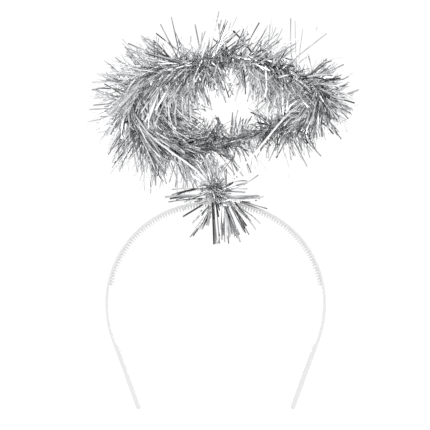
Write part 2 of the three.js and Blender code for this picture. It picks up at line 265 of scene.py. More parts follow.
def bend_round_head(points):
    """Bends points of the flat strip, where depth inwards is -Z, to the curve of a head."""
    left = np.abs(points[:, 0])
    side = np.sign(points[:, 0])
    heading = np.zeros_like(left)
    x = np.zeros_like(left)
    z = np.full_like(left, BAND_TOP)
    for arc in BAND_ARCS:
        turn = np.clip(left / arc["radius"], 0, arc["sweep"])
        x += arc["radius"] * (np.sin(heading + turn) - np.sin(heading))
        z += arc["radius"] * (np.cos(heading + turn) - np.cos(heading))
        heading += turn
        left = left - turn * arc["radius"]
    x += left * np.cos(heading) + points[:, 2] * np.sin(heading)
    z += points[:, 2] * np.cos(heading) - left * np.sin(heading)
    return np.stack([side * x, points[:, 1], z], axis=1)


def comb_tooth():
    """One tooth under the middle of the flat strip, narrower at its tip and with soft edges."""
    height = TOOTH_LENGTH + TOOTH_SUNK
    middle = TOOTH_SUNK - BAND_THICKNESS - height / 2
    tooth = block("tooth", (*TOOTH_ROOT, height), (0, 0, middle))
    bpy.ops.object.mode_set(mode="EDIT")
    pick(tooth, "faces", lambda face: face.normal.z < -0.5)
    taper = (TOOTH_TIP[0] / TOOTH_ROOT[0], TOOTH_TIP[1] / TOOTH_ROOT[1], 1)
    bpy.ops.transform.resize(value=taper, center_override=(0, 0, 0))
    pick(tooth, "edges", lambda edge: max(v.co.z for v in edge.verts) < middle)
    bpy.ops.mesh.bevel(offset=TOOTH_ROUNDING, segments=2, affect="EDGES")
    bpy.ops.object.mode_set(mode="OBJECT")
    return tooth


def comb():
    """The tooth's copies along the strip, each as wide as the strip lets it be."""
    tooth = comb_tooth()
    steps = np.arange(TOOTH_PITCH / 2, COMB_HALF_LENGTH, TOOTH_PITCH)
    teeth = []
    for x in (*-steps, *steps):
        copy = bpy.data.objects.new("tooth", tooth.data.copy())
        narrower = 1 - abs(x) / HALF_LENGTH * (CROWN_WIDTH - TIP_WIDTH) / TOOTH_ROOT[1]
        copy.data.transform(Matrix.Translation((x, 0, 0)) @ Matrix.Diagonal((1, narrower, 1, 1)))
        bpy.context.collection.objects.link(copy)
        teeth.append(copy)
    bpy.data.objects.remove(tooth)
    return teeth


def headband():
    strip = flat_strip()
    move_points(strip, shape_strip(points_of(strip)))
    teeth = comb()
    stand_alone()
    for piece in (*teeth, strip):
        piece.select_set(True)
    bpy.context.view_layer.objects.active = strip
    bpy.ops.object.join()
    move_points(strip, bend_round_head(points_of(strip)))
    bpy.ops.object.shade_smooth_by_angle(angle=math.radians(40))
    strip.data.materials.append(plastic)
    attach(strip, "root")
    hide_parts("headband")


plastic = moulded_plastic()
headband()

# Saddle
# A plain clip of the same white plastic, which straddles the crown of the band. The feet of the two
# wires are set in its top, and the tuft of tinsel hides it.

SADDLE_CHANNEL_TOP = 0.004
SADDLE_CHANNEL_HALF = 0.0038
SADDLE_ROUNDING = 0.0004


def saddle():
    low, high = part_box("saddle")
    roof_size = (high.x - low.x, high.y - low.y, high.z - SADDLE_CHANNEL_TOP)
    middle = ((low.x + high.x) / 2, 0, (high.z + SADDLE_CHANNEL_TOP) / 2)
    clip = block("saddle_clip", roof_size, middle)
    bpy.ops.object.mode_set(mode="EDIT")
    for y in (-SADDLE_CHANNEL_HALF, SADDLE_CHANNEL_HALF):
        bpy.ops.mesh.select_all(action="SELECT")
        bpy.ops.mesh.bisect(plane_co=(0, y, 0), plane_no=(0, 1, 0))
    pick(
        clip,
        "faces",
        lambda face: face.normal.z < -0.5
        and abs(face.calc_center_median().y) > SADDLE_CHANNEL_HALF,
    )
    drop = low.z - SADDLE_CHANNEL_TOP
    bpy.ops.mesh.extrude_region_move(TRANSFORM_OT_translate={"value": (0, 0, drop)})
    bpy.ops.object.mode_set(mode="OBJECT")
    rounding = clip.modifiers.new("rounding", "BEVEL")
    rounding.width = SADDLE_ROUNDING
    rounding.segments = 2
    bpy.ops.object.modifier_apply(modifier="rounding")
    bpy.ops.object.shade_smooth_by_angle(angle=math.radians(40))
    clip.data.materials.append(plastic)
    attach(clip, "root")
    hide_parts("saddle")


saddle()

# Wires
# Steel wire in a white coating: one is bent by hand to the ring, and two hold it up. Each of these
# stands in the saddle, and its upper end is wound round the ring's wire.

RING_WIRE_RADIUS = 0.00065
STEM_WIRE_RADIUS = 0.0006
RING_SECTION_CORNERS = 6
WINDING_RADIUS = 0.0014
WINDING_PITCH = 0.0013
WINDING_TURNS = 2.5
WINDING_STEPS = 10
COATING_WHITE = (0.98, 0.98, 0.978, 1)
COATING_SCUFF = (0.93, 0.93, 0.93, 1)

# The way of each wire from its foot to the ring, in millimetres, and where it meets the ring's wire
STEMS = [
    {
        "name": "left_stem",
        "piece": "left_wire",
        "way": [
            (-0.7, 0, 4.8),
            (-0.7, 0, 10.37),
            (-5.62, 0, 16.57),
            (-13.42, 0, 24),
            (-30.77, 0, 36.7),
            (-41.18, 0, 45.06),
            (-46.96, 0, 52.18),
            (-52.75, 0, 60.54),
        ],
        "join": (-58.53, -0.51, 66.74),
    },
    {
        "name": "right_stem",
        "piece": "right_wire",
        "way": [
            (1.7, 0, 4.8),
            (3.49, 0, 9.41),
            (8.86, 0, 15.65),
            (25.87, 0, 35.26),
            (47.65, 0, 60.39),
            (53.02, 0, 64.67),
        ],
        "join": (61.38, -10.51, 70.59),
    },
]


def wire_coating():
    """Bright white coating with faint scuffs and a slightly wavy skin."""
    finish = bpy.data.materials.new("wire_coating")
    finish.use_nodes = True
    nodes, links = finish.node_tree.nodes, finish.node_tree.links
    shader = nodes["Principled BSDF"]
    shader.inputs["Roughness"].default_value = 0.3
    place = nodes.new("ShaderNodeTexCoord")
    scuff = nodes.new("ShaderNodeTexNoise")
    scuff.inputs["Scale"].default_value = 250
    shade = nodes.new("ShaderNodeValToRGB")
    shade.color_ramp.elements[0].position = 0.3
    shade.color_ramp.elements[0].color = COATING_SCUFF
    shade.color_ramp.elements[1].position = 0.55
    shade.color_ramp.elements[1].color = COATING_WHITE
    bump = nodes.new("ShaderNodeBump")
    bump.inputs["Strength"].default_value = 0.2
    bump.inputs["Distance"].default_value = 0.0002
    links.new(place.outputs["Object"], scuff.inputs["Vector"])
    links.new(scuff.outputs["Fac"], shade.inputs["Fac"])
    links.new(shade.outputs["Color"], shader.inputs["Base Color"])
    links.new(scuff.outputs["Fac"], bump.inputs["Height"])
    links.new(bump.outputs["Normal"], shader.inputs["Normal"])
    return finish


def unit(vectors):
    return vectors / np.linalg.norm(vectors, axis=-1, keepdims=True)


def ring_line():
    """The middle line of the ring's wire and the ring's middle, read from the CAD ring."""
    points = np.unique(points_of(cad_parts["halo_ring"]).round(6), axis=0)
    middle = (points.min(axis=0) + points.max(axis=0)) / 2
    angle = np.arctan2(points[:, 1] - middle[1], points[:, 0] - middle[0])
    points = points[np.argsort(angle % (2 * math.pi))]
    return points.reshape(-1, RING_SECTION_CORNERS, 3).mean(axis=1), middle


def wire(name, points, radius, closed):
    """A round wire on a smooth line through its points."""
    line = bpy.data.curves.new(name, "CURVE")
    line.dimensions = "3D"
    line.bevel_depth = radius
    line.bevel_resolution = 3
    line.resolution_u = 6
    line.use_fill_caps = True
    spline = line.splines.new("BEZIER")
    spline.bezier_points.add(len(points) - 1)
    spline.use_cyclic_u = closed
    for knot, point in zip(spline.bezier_points, points):
        knot.co = point
        knot.handle_left_type = "AUTO"
        knot.handle_right_type = "AUTO"
    piece = bpy.data.objects.new(name, line)
    bpy.context.collection.objects.link(piece)
    stand_alone()
    piece.select_set(True)
    bpy.context.view_layer.objects.active = piece
    bpy.ops.object.convert(target="MESH")
    bpy.ops.object.shade_smooth_by_angle(angle=math.radians(50))
    piece.data.materials.append(coating)
    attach(piece, "root")
    return piece


def winding(join, last):
    """The turns of a wire's end round the ring's wire, from the side where it arrives."""
    nearest = np.argmin(np.linalg.norm(ring - join, axis=1))
    along = unit(ring[(nearest + 1) % len(ring)] - ring[nearest - 1])
    arrival = last - join
    start = unit(arrival - along * np.dot(arrival, along))
    aside = np.cross(along, start)
    steps = np.arange(int(WINDING_TURNS * WINDING_STEPS) + 1) / WINDING_STEPS
    turn = 2 * math.pi * steps[:, None]
    rise = WINDING_PITCH * (steps[:, None] - WINDING_TURNS / 2)
    return join + WINDING_RADIUS * (start * np.cos(turn) + aside * np.sin(turn)) + rise * along


def stem(row):
    way = np.array(row["way"]) / 1000
    join = np.array(row["join"]) / 1000
    points = np.concatenate([way, winding(join, way[-1])])
    piece = wire(row["piece"], points, STEM_WIRE_RADIUS, closed=False)
    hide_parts(row["name"])
    return way


coating = wire_coating()
ring, ring_middle = ring_line()
ring_wire = wire("ring_wire", ring, RING_WIRE_RADIUS, closed=True)
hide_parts("halo_ring")
stem_ways = [stem(row) for row in STEMS]

# Ring tinsel
# A garland of metallised film: thousands of narrow strips gripped between twisted threads, which is
# wound along the ring. The strips stand out all round it in locks, and sag at the back.

LONG_LOCKS = 960
LONG_STEPS = 5
SHORT_LOCKS = 440
SHORT_STEPS = 3
STRIP_THICKNESS = 0.00006
STRIP_WIDTH = 0.00088
STRIPS_IN_LOCK = 5
MOST_CROWDED = 2.6
ROOT_SPREAD = 0.6
TIP_SPREAD = 0.1
CORE_SPREAD = 0.0015
WAVE = 0.0022
TONE_SPREAD = 0.26
# Painted glint: how far the tone of a strip rises and falls along it as it twists.
GLINT = 0.14
TONE_MOST = 0.84
WIRE_SEEN_MARGIN = 0.0009
HIDING_STEPS = 28
GARLAND_SEED = 24
FOIL_DARK = (0.053, 0.053, 0.055, 1)
FOIL_MIDDLE = (0.6, 0.604, 0.615, 1)
FOIL_BRIGHT = (0.85, 0.852, 0.86, 1)

# The play that loose strips have, where lengths are shares of a strip's own length
KINKED_SHARE = 0.18
KINK_SPREAD = 0.45
KINK_MOST = 0.6
BEND_SPREAD = 0.09
BEND_MOST = 0.16
LEAN_SPREAD = 0.35
SPIN_SPREAD = 0.8
DROOP = 0.08

# What strips that are placed one by one keep of it
DRAWN_ROOT_SHARE = 0.3
DRAWN_BEND_SHARE = 0.2
DRAWN_KINK_SHARE = 0.2
DRAWN_SPIN_SHARE = 0.4
DRAWN_TONE_SHARE = 0.35
DRAWN_FACING_SPREAD = 0.35
DRAWN_SHORTER = 0.25

# Arcs of the ring, in degrees, where the tinsel is parted and the wire shows
PARTED_ARCS = ((188, 216), (322, 352))

# The strips round the ring, by the angle in degrees: 0 is the right and 90 the back. Core is where
# the threads run beside the wire, outwards and up, and reach is how far strips stand from there,
# both in millimetres. Crowd and tone are shares. Reach, crowd and tone are given outwards, up,
# inwards and down. Fluff is how crowded the short strips are, lean combs strips along the ring, sag
# turns them downwards and wave crimps them.
GARLAND_FALL = [
    {
        "angle": 0,
        "core": (5, -1),
        "reach": (22, 20, 22, 20),
        "crowd": (1.5, 0.3, 1.4, 0.5),
        "tone": (0.42, 0.46, 0.46, 0.46),
        "fluff": 2.7,
        "lean": 0.0,
        "sag": 0.05,
        "wave": 1.0,
    },
    {
        "angle": 20,
        "core": (4, -1),
        "reach": (22, 24, 22, 22),
        "crowd": (1.1, 0.8, 1.2, 0.6),
        "tone": (0.42, 0.46, 0.48, 0.46),
        "fluff": 2.2,
        "lean": 0.0,
        "sag": 0.1,
        "wave": 0.9,
    },
    {
        "angle": 38,
        "core": (2, -1),
        "reach": (24, 24, 22, 28),
        "crowd": (0.6, 0.9, 0.8, 0.8),
        "tone": (0.44, 0.48, 0.48, 0.48),
        "fluff": 1.1,
        "lean": 0.0,
        "sag": 0.15,
        "wave": 0.6,
    },
    {
        "angle": 62,
        "core": (0, -3),
        "reach": (20, 20, 20, 25),
        "crowd": (0.4, 0.55, 0.7, 0.5),
        "tone": (0.46, 0.5, 0.48, 0.62),
        "fluff": 0.75,
        "lean": -0.15,
        "sag": 0.15,
        "wave": 0.4,
    },
    {
        "angle": 90,
        "core": (0, -4.5),
        "reach": (20, 24, 18, 26),
        "crowd": (0.4, 0.7, 0.6, 0.3),
        "tone": (0.52, 0.52, 0.52, 0.7),
        "fluff": 0.55,
        "lean": -0.3,
        "sag": 0.15,
        "wave": 0.3,
    },
    {
        "angle": 112,
        "core": (0, -4),
        "reach": (26, 28, 28, 32),
        "crowd": (0.3, 1.5, 1.3, 0.5),
        "tone": (0.52, 0.5, 0.5, 0.66),
        "fluff": 0.8,
        "lean": -0.35,
        "sag": 0.15,
        "wave": 0.3,
    },
    {
        "angle": 142,
        "core": (-2, -3),
        "reach": (27, 28, 38, 34),
        "crowd": (0.4, 0.9, 1.8, 0.6),
        "tone": (0.55, 0.52, 0.5, 0.64),
        "fluff": 0.7,
        "lean": -0.3,
        "sag": 0.12,
        "wave": 0.4,
    },
    {
        "angle": 168,
        "core": (-2, -2),
        "reach": (27, 24, 46, 30),
        "crowd": (0.9, 0.5, 1.9, 0.7),
        "tone": (0.52, 0.54, 0.5, 0.56),
        "fluff": 1.2,
        "lean": -0.1,
        "sag": 0.08,
        "wave": 0.6,
    },
    {
        "angle": 190,
        "core": (-4, 0),
        "reach": (28, 22, 50, 28),
        "crowd": (1.0, 0.4, 2.1, 0.5),
        "tone": (0.52, 0.54, 0.48, 0.56),
        "fluff": 1.2,
        "lean": 0.0,
        "sag": 0.05,
        "wave": 0.7,
    },
    {
        "angle": 215,
        "core": (-4, 0),
        "reach": (30, 24, 48, 28),
        "crowd": (1.0, 0.6, 2.1, 0.5),
        "tone": (0.52, 0.5, 0.48, 0.56),
        "fluff": 0.8,
        "lean": -0.3,
        "sag": 0.0,
        "wave": 0.5,
    },
    {
        "angle": 240,
        "core": (0, -3),
        "reach": (29, 30, 36, 33),
        "crowd": (0.7, 0.25, 1.4, 1.4),
        "tone": (0.54, 0.46, 0.46, 0.5),
        "fluff": 0.6,
        "lean": -0.35,
        "sag": 0.0,
        "wave": 0.3,
    },
    {
        "angle": 262,
        "core": (0, -3),
        "reach": (22, 31, 24, 22),
        "crowd": (0.3, 0.2, 0.7, 1.2),
        "tone": (0.55, 0.34, 0.54, 0.54),
        "fluff": 0.6,
        "lean": 0.0,
        "sag": 0.0,
        "wave": 0.2,
    },
    {
        "angle": 280,
        "core": (0, 1),
        "reach": (22, 29, 26, 17),
        "crowd": (0.4, 0.3, 0.4, 0.6),
        "tone": (0.55, 0.36, 0.54, 0.6),
        "fluff": 0.9,
        "lean": 0.2,
        "sag": 0.0,
        "wave": 0.2,
    },
    {
        "angle": 298,
        "core": (0, 3),
        "reach": (24, 26, 30, 31),
        "crowd": (0.45, 0.36, 1.2, 1.3),
        "tone": (0.52, 0.44, 0.52, 0.52),
        "fluff": 0.9,
        "lean": 0.35,
        "sag": 0.0,
        "wave": 0.3,
    },
    {
        "angle": 325,
        "core": (2, 1),
        "reach": (24, 28, 28, 30),
        "crowd": (0.4, 0.25, 1.6, 1.3),
        "tone": (0.48, 0.46, 0.5, 0.5),
        "fluff": 1.2,
        "lean": 0.2,
        "sag": 0.0,
        "wave": 0.6,
    },
    {
        "angle": 345,
        "core": (5, 0),
        "reach": (23, 22, 24, 22),
        "crowd": (1.0, 0.2, 1.9, 0.6),
        "tone": (0.44, 0.46, 0.44, 0.46),
        "fluff": 2.3,
        "lean": 0.0,
        "sag": 0.0,
        "wave": 0.9,
    },
    {
        "angle": 360,
        "core": (5, -1),
        "reach": (22, 20, 22, 20),
        "crowd": (1.5, 0.3, 1.4, 0.5),
        "tone": (0.42, 0.46, 0.46, 0.46),
        "fluff": 2.7,
        "lean": 0.0,
        "sag": 0.05,
        "wave": 1.0,
    },
]


# Long strips that stand clear of the garland or hang below its back. Root, tip and bow are in
# millimetres, and bow is how far a strip's middle lies to the left of the line from its root to
# its tip. Width is a share.
# Tones near nought or below make a strip near black, as a painted dark reflection.
STRAY_COLUMNS = ("root", "tip", "bow", "width", "tone")
STRAY_STRIPS = [
    ((-20.5, -51, 86), (-27, -51, 115), 0, 0.9, 0.22),
    ((-21, -51, 86), (-33.5, -51, 110.5), 0, 1.0, 0.12),
    ((-13, -53.5, 86.5), (-36, -53.5, 105), 0, 0.8, 0.3),
    ((-23.5, -50, 85.5), (-44, -50, 101), 0, 0.9, 0.25),
    ((-23.5, -50, 85.5), (-38, -50, 101), 0, 1.1, 0.1),
    ((-21.5, -51, 86), (-53.5, -51, 98), 0, 1.2, 0.22),
    ((-26, -49, 85), (-54, -49, 95.5), 0, 0.9, 0.3),
    ((-40.5, -38.5, 82.5), (-57.5, -38.5, 100), 0, 0.8, 0.4),
    ((-16, -53, 86), (-15, -53, 103), 0, 0.9, 0.25),
    ((-8, -54.5, 87), (-12.5, -54.5, 110), 0, 0.9, 0.28),
    ((-13, -53.5, 87), (-6, -53.5, 106), 0, 0.9, 0.25),
    ((-10, -54.5, 86.5), (-8, -54.5, 105), 0, 0.8, 0.3),
    ((-6, -55, 87), (-1.5, -55, 114), 0, 1.0, 0.25),
    ((-4.5, -55, 87), (1.5, -55, 118), 0, 0.8, 0.25),
    ((4, -55.5, 87.5), (2, -55.5, 110.5), 0, 0.9, 0.3),
    ((20.5, -53, 86), (-2, -53, 101.5), 0, 1.1, 0.05),
    ((28, -50.5, 84), (10.5, -50.5, 106.5), -1, 1.4, -0.08),
    ((14, -54.5, 86.5), (26, -54.5, 111.5), 0, 0.9, 0.25),
    ((21.5, -53, 85.5), (40, -53, 102.5), 0, 0.9, 0.25),
    ((18, -53.5, 88.5), (48.5, -53.5, 101.5), 0, 0.8, 0.35),
    ((23, -52.5, 85), (47, -52.5, 98), 0, 0.9, 0.3),
    ((48, -36.5, 82), (43.5, -36.5, 115.5), 0, 0.8, 0.4),
    ((50, -34, 77), (48.5, -34, 114.5), 0, 0.7, 0.6),
    ((49.5, -35, 77.5), (53, -35, 109.5), 0, 0.7, 0.6),
    ((37.5, -45, 81.5), (67.5, -45, 106), 0, 0.8, 0.35),
    ((51, -33, 76.5), (62.5, -33, 110.5), 0, 0.7, 0.6),
    ((49, -35, 78), (77.5, -35, 93.5), 2, 0.9, 0.3),
    ((53, -30.5, 75), (79, -30.5, 88), 0, 0.9, 0.3),
    ((60.5, -15, 70.5), (86, -15, 83), 0, 0.9, 0.25),
    ((76.5, 0, 69.5), (91, 0, 74), 0, 0.9, 0.28),
    ((-7.5, -55, 85.5), (-11.5, -55, 72), 0, 1.2, -0.12),
    ((-7, -55, 82), (-2.5, -55, 58), 0, 0.9, 0.28),
    ((-1, -55.5, 82.5), (6, -55.5, 62.5), 0, 0.9, 0.3),
    ((-47.5, -30.5, 78), (-65, -30.5, 85), 0, 0.9, 0.3),
    ((-58.5, 0, 75.5), (-76.5, 0, 71), 1.5, 0.9, 0.35),
    ((-57, -6.5, 62.5), (-80, -6.5, 61.5), 0, 0.8, 0.5),
    ((-56.5, -8, 61.5), (-81, -8, 53.5), 1, 0.9, 0.35),
    ((4.5, 55.5, 49.5), (0.5, 55.5, 60), 0, 1.2, 0.1),
    ((9.5, 55, 49.5), (13, 55, 61), 0, 1.0, 0.15),
    ((17, 54, 47.5), (20, 54, 58.5), 0, 1.0, 0.2),
    ((22.5, -52.5, 80.5), (34, -52.5, 62.5), 0, 1.2, 0.08),
    ((23, -52.5, 80), (37, -52.5, 61.5), 0, 1.0, 0.15),
    ((8.5, 55.5, 46), (35, 55.5, 24.5), 2, 0.9, 0.35),
    ((45, 39.5, 56), (60, 39.5, 26.5), 0, 1.0, 0.15),
    ((45.5, 39, 57), (70, 39, 34), 0, 0.9, 0.3),
    ((42.5, 41.5, 48), (48.5, 41.5, 20), 0, 0.7, 0.6),
    ((-53.5, 19.5, 39), (-50.5, 19.5, 22.5), 0, 0.9, 0.42),
    ((-48.5, 29, 38), (-51, 29, 24.5), 0, 0.8, 0.42),
    ((-45.5, 33, 42.5), (-49.5, 33, 24.5), 0, 0.9, 0.4),
    ((-48, 30, 38), (-47, 30, 23), 0, 1.1, 0.4),
    ((-43.5, 35.5, 37.5), (-45.5, 35.5, 22.5), 0, 0.8, 0.44),
    ((-44, 34.5, 36.5), (-41.5, 34.5, 21), 0, 0.8, 0.42),
    ((-41.5, 37.5, 36.5), (-40.5, 37.5, 17), 0, 0.9, 0.4),
    ((-40, 39, 36), (-39.5, 39, 14), 0, 1.1, 0.34),
    ((-38.5, 40.5, 35.5), (-39, 40.5, 18), 0, 1.2, 0.36),
    ((-44, 34.5, 30), (-34.5, 34.5, 16.5), 0, 1.0, 0.2),
    ((-38.5, 40.5, 36), (-36, 40.5, 21), 0, 0.8, 0.4),
    ((-33.5, 44.5, 35), (-36.5, 44.5, 26.5), 0, 1.0, 0.3),
    ((-30.5, 46.5, 36), (-31.5, 46.5, 25), 0, 1.0, 0.34),
    ((-29, 47.5, 34), (-35.5, 47.5, 18), 0, 1.0, 0.36),
    ((-34.5, 43.5, 34), (-35, 43.5, 18.5), 0, 0.9, 0.36),
    ((-32.5, 45, 28.5), (-37.5, 45, 12.5), 0, 0.8, 0.5),
    ((-25.5, 49, 32.5), (-31, 49, 16.5), 0, 0.8, 0.42),
    ((-25.5, 49, 31), (-27, 49, 13), 0.5, 0.9, 0.36),
    ((-29.5, 47, 29.5), (-24.5, 47, 16), 0, 0.9, 0.4),
    ((-19, 52, 31.5), (-26, 52, 20.5), 0, 0.9, 0.38),
    ((-19, 52, 30.5), (-23.5, 52, 16), 0, 0.9, 0.46),
    ((-17.5, 52.5, 30.5), (-21.5, 52.5, 20), 0, 1.1, 0.3),
    ((-16.5, 52.5, 29), (-20, 52.5, 14.5), 0, 0.9, 0.4),
    ((-24, 50, 27), (-15, 50, 15), 0, 0.8, 0.4),
    ((-14.5, 53.5, 29.5), (-18.5, 53.5, 20), 0, 1.0, 0.35),
    ((-15.5, 53, 27.5), (-12, 53, 13.5), 0, 0.8, 0.46),
    ((-12, 54, 30), (-13.5, 54, 15.5), 0, 0.8, 0.4),
    ((-11.5, 54, 27), (-9, 54, 15.5), 0, 0.9, 0.42),
    ((-19, 52, 27.5), (-18.5, 52, 13), 0, 0.8, 0.5),
    ((-11, 54, 26.5), (-15.5, 54, 13.5), 0, 0.8, 0.44),
]


def foil():
    """Bright metallised film with a faint crinkle, where some strips are duller than others. Its tone
    also holds painted glints along each strip and painted dark reflections.
    """
    finish = bpy.data.materials.new("tinsel_foil")
    finish.use_nodes = True
    nodes, links = finish.node_tree.nodes, finish.node_tree.links
    shader = nodes["Principled BSDF"]
    shader.inputs["Metallic"].default_value = 1
    shader.inputs["Roughness"].default_value = 0.2
    tone = nodes.new("ShaderNodeAttribute")
    tone.attribute_name = "tone"
    ramp = nodes.new("ShaderNodeValToRGB")
    ramp.color_ramp.elements[0].color = FOIL_DARK
    ramp.color_ramp.elements[1].color = FOIL_BRIGHT
    middle = ramp.color_ramp.elements.new(0.4)
    middle.color = FOIL_MIDDLE
    place = nodes.new("ShaderNodeTexCoord")
    crinkle = nodes.new("ShaderNodeTexNoise")
    crinkle.inputs["Scale"].default_value = 420
    bump = nodes.new("ShaderNodeBump")
    bump.inputs["Strength"].default_value = 0.35
    bump.inputs["Distance"].default_value = 0.0004
    links.new(tone.outputs["Fac"], ramp.inputs["Fac"])
    links.new(ramp.outputs["Color"], shader.inputs["Base Color"])
    links.new(place.outputs["Object"], crinkle.inputs["Vector"])
    links.new(crinkle.outputs["Fac"], bump.inputs["Height"])
    links.new(bump.outputs["Normal"], shader.inputs["Normal"])
    return finish


def cut_strip(steps):
    """One flat strip of film, a unit wide along X, thick along Y and long along Z."""
    strip = block("strip", (1, 1, 1), (0, 0, 0.5))
    bpy.ops.object.mode_set(mode="EDIT")
    for step in range(1, steps):
        bpy.ops.mesh.select_all(action="SELECT")
        bpy.ops.mesh.bisect(plane_co=(0, 0, step / steps), plane_no=(0, 0, 1))
    bpy.ops.object.mode_set(mode="OBJECT")
    corners = points_of(strip)
    faces = np.array([face.vertices[:] for face in strip.data.polygons])
    bpy.data.objects.remove(strip)
    return corners, faces


def strip_paths(strips, steps):
    """Each strip's middle line: it leaves its root along its way, bends, waves and may kink."""
    step = np.linspace(0, 1, steps + 1)[None, :, None]
    way = strips["way"][:, None]
    reach = strips["length"][:, None, None]
    path = step * way + step**2 * strips["bend"][:, None]
    path = path + np.maximum(step - strips["kink_at"][:, None, None], 0) * strips["kink"][:, None]
    aside = unit(np.cross(way, np.roll(way, 1, axis=2) + (0.1, 0.2, 0.3)))
    turn = 2 * math.pi * (strips["turns"][:, None, None] * step + strips["start"][:, None, None])
    ripple = strips["wave"][:, None, None] * np.sin(turn) * step * aside
    return strips["root"][:, None] + reach * path + ripple


def lay_strips(name, strips, steps):
    """One mesh of strips on their paths, each with its own width, facing, spin and tone, with a
    painted glint that waves the tone lighter and darker along each strip.
    """
    corners, faces = cut_strip(steps)
    path = strip_paths(strips, steps)
    count = len(path)
    along = unit(np.gradient(path, axis=1))
    across = unit(np.cross(along, strips["side"][:, None]))
    flat = np.cross(along, across)
    step = np.linspace(0, 1, steps + 1)[None, :, None]
    angle = strips["spin"][:, None, None] * step
    side = across * np.cos(angle) + flat * np.sin(angle)
    face = np.cross(along, side)
    level = np.rint(corners[:, 2] * steps).astype(int)
    points = path[:, level]
    points = points + side[:, level] * (corners[:, 0] * strips["width"][:, None])[..., None]
    points = points + face[:, level] * (corners[:, 1] * STRIP_THICKNESS)[None, :, None]
    faces = faces[None] + (np.arange(count) * len(corners))[:, None, None]
    mesh = bpy.data.meshes.new(name)
    mesh.from_pydata(points.reshape(-1, 3).tolist(), [], faces.reshape(-1, 4).tolist())
    turns = strips["turns"][:, None] * corners[None, :, 2] + strips["start"][:, None]
    # The tone waves along each strip as a painted glint, lighter where its twist would catch the
    # light and darker where it would not.
    shade = strips["tone"][:, None] + GLINT * np.sin(2 * math.pi * turns)
    tone = mesh.attributes.new("tone", "FLOAT", "POINT")
    tone.data.foreach_set("value", np.clip(shade, 0, TONE_MOST).ravel())
    piece = bpy.data.objects.new(name, mesh)
    bpy.context.collection.objects.link(piece)
    piece.data.materials.append(silver)
    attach(piece, "root")
    return piece


def fall_at(angle, column):
    """A column of the table at angles round the ring, between its rows."""
    rows = [row["angle"] for row in GARLAND_FALL]
    values = np.array([row[column] for row in GARLAND_FALL], dtype=float)
    if values.ndim == 1:
        return np.interp(angle, rows, values)
    return np.stack([np.interp(angle, rows, part) for part in values.T], axis=1)


def fall_towards(angle, turn, column):
    """A column with four directions, at angles round the ring and turns about its wire."""
    out, up, inwards, down = fall_at(angle, column).T
    cos, sin = np.cos(turn), np.sin(turn)
    across = np.where(cos > 0, out, inwards) * cos**2
    return across + np.where(sin > 0, up, down) * sin**2


def ring_at(place):
    """Points, ways along and ways out of the ring's wire at places given in its steps."""
    start = np.floor(place).astype(int) % len(ring)
    after = (start + 1) % len(ring)
    share = (place % 1)[:, None]
    at = ring[start] * (1 - share) + ring[after] * share
    along = unit(ring[after] - ring[start])
    out = at - ring_middle
    out = unit(out - along * np.sum(out * along, axis=1, keepdims=True))
    angle = np.degrees(np.arctan2(at[:, 1] - ring_middle[1], at[:, 0] - ring_middle[0])) % 360
    return at, along, out, angle


def hides_wire(path):
    """Whether a strip passes in front of the wires that the tinsel is parted for."""
    hides = np.zeros(len(path), dtype=bool)
    for point in wire_marks:
        aside = np.hypot(path[..., 0] - point[0], path[..., 2] - point[2])
        before = path[..., 1] < point[1]
        hides |= np.any((aside < WIRE_SEEN_MARGIN) & before, axis=1)
    return hides


def marks_along(points, spacing=0.0015):
    """Points at an even spacing along a line of points."""
    marks = []
    for a, b in zip(points[:-1], points[1:]):
        steps = max(1, int(np.linalg.norm(b - a) / spacing))
        marks += [a + (b - a) * i / steps for i in range(steps)]
    return marks


def seen_wires():
    """Marks on the stems and on the parts of the ring where the tinsel is parted."""
    angle = np.degrees(np.arctan2(ring[:, 1] - ring_middle[1], ring[:, 0] - ring_middle[0])) % 360
    marks = []
    for low, high in PARTED_ARCS:
        marks += marks_along(ring[(angle > low) & (angle < high)])
    for way in stem_ways:
        marks += marks_along(way[2:])
    return marks


def strips_from(root, way, length, width, chance, wave=0.0):
    """The common play of strips: bends and kinks square to their way, spins and waves."""
    count = len(root)
    kinked = chance.random((count, 1)) < KINKED_SHARE
    strips = {
        "root": root,
        "way": way,
        "length": length,
        "width": width,
        "bend": np.clip(chance.normal(0, BEND_SPREAD, (count, 3)), -BEND_MOST, BEND_MOST),
        "kink_at": 0.3 + 0.5 * chance.random(count),
        "kink": np.clip(chance.normal(0, KINK_SPREAD, (count, 3)), -KINK_MOST, KINK_MOST) * kinked,
        "wave": wave * chance.random(count),
        "turns": 0.6 + 0.7 * chance.random(count),
        "start": chance.random(count),
        "side": unit(chance.normal(0, 1, (count, 3))),
        "spin": chance.normal(0, SPIN_SPREAD, count),
    }
    for turned in ("bend", "kink"):
        strips[turned] -= way * np.sum(way * strips[turned], axis=1, keepdims=True)
    return strips


def kept(strips, keep):
    return {name: values[keep] for name, values in strips.items()}


def core_at(place):
    """Where the garland's threads run at places along the ring, with the ways out and up there."""
    at, along, out, angle = ring_at(place % len(ring))
    up = np.cross(out, along)
    core = fall_at(angle, "core") / 1000
    return at + out * core[:, :1] + up * core[:, 1:], along, out, up, angle


